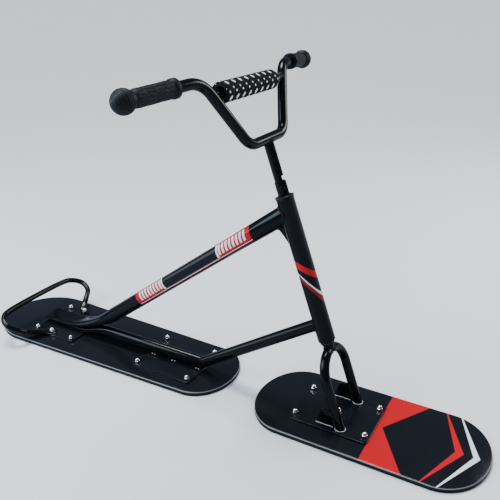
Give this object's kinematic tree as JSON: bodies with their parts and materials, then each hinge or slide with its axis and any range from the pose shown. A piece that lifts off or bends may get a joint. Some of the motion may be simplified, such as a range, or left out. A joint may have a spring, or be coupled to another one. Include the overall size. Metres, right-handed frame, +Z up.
{
  "type": "snow scooter",
  "caption": "Snow scooter with a bent steel frame on a long rear board, a short front board steered through a fork, and a rise handlebar with a padded crossbar.",
  "frame": {"origin": "on the snow, under the middle of the scooter", "axes": "+X forward to the front board's nose, +Y to the rider's left, +Z up"},
  "size_m": [1.421, 0.7404, 0.7931],
  "materials": {
    "frame_paint": "gloss black paint on steel tube and plate",
    "black_board": "plywood board, gloss black printed top, pale clear-coated edge",
    "printed_board": "plywood board, gloss top printed black with red and white stripes",
    "running_sole": "black polyethylene running sole",
    "zinc_hardware": "bright zinc plating",
    "nylon_bush": "grey nylon",
    "grip_rubber": "matt black ribbed rubber",
    "pad_foam": "soft black foam",
    "pad_net": "black woven sleeve with pale printed dots"
  },
  "bodies": {
    "frame": {"rear_sole": "running_sole", "rear_board": "black_board", "rear_plate": "frame_paint", "middle_plate": "frame_paint", "rear_bolt_1": "zinc_hardware", "rear_nut_1": "zinc_hardware", "rear_bolt_2": "zinc_hardware", "rear_nut_2": "zinc_hardware", "rear_bolt_3": "zinc_hardware", "rear_nut_3": "zinc_hardware", "rear_bolt_4": "zinc_hardware", "rear_nut_4": "zinc_hardware", "rear_bolt_5": "zinc_hardware", "rear_nut_5": "zinc_hardware", "rear_bolt_6": "zinc_hardware", "rear_nut_6": "zinc_hardware", "rear_bolt_7": "zinc_hardware", "rear_nut_7": "zinc_hardware", "rear_bolt_8": "zinc_hardware", "rear_nut_8": "zinc_hardware", "rear_bolt_9": "zinc_hardware", "rear_nut_9": "zinc_hardware", "rear_bolt_10": "zinc_hardware", "rear_nut_10": "zinc_hardware", "foot_hoop": "frame_paint", "rail": "frame_paint", "lower_tube": "frame_paint", "upper_tube": "frame_paint", "head_tube": "frame_paint", "head_gusset": "frame_paint", "lower_bush": "nylon_bush", "upper_bush": "nylon_bush"},
    "steering": {"front_sole": "running_sole", "front_board": "printed_board", "front_plate": "frame_paint", "front_bolt_1": "zinc_hardware", "front_nut_1": "zinc_hardware", "front_bolt_2": "zinc_hardware", "front_nut_2": "zinc_hardware", "front_bolt_3": "zinc_hardware", "front_nut_3": "zinc_hardware", "front_bolt_4": "zinc_hardware", "front_nut_4": "zinc_hardware", "front_bolt_5": "zinc_hardware", "front_nut_5": "zinc_hardware", "fork": "frame_paint", "right_gusset": "frame_paint", "left_gusset": "frame_paint", "steerer_tube": "frame_paint", "retaining_ring": "zinc_hardware", "lock_screw": "zinc_hardware"},
    "bars": {"handlebar_post": "frame_paint", "handlebar": "frame_paint", "crossbar": "frame_paint", "pad_foam": "pad_foam", "pad_cover": "pad_net", "right_grip": "grip_rubber", "left_grip": "grip_rubber"}
  },
  "joints": [
    {"name": "steering_turn", "type": "hinge", "parent": "frame", "child": "steering", "pos_m": [0.3265, 0, 0.1954], "axis": [-0.3363, 0, 0.9418], "range_deg": [-45, 45]},
    {"name": "post_height", "type": "slide", "parent": "steering", "child": "bars", "axis": [-0.3363, 0, 0.9418], "range_m": [-0.04, 0.05]}
  ]
}
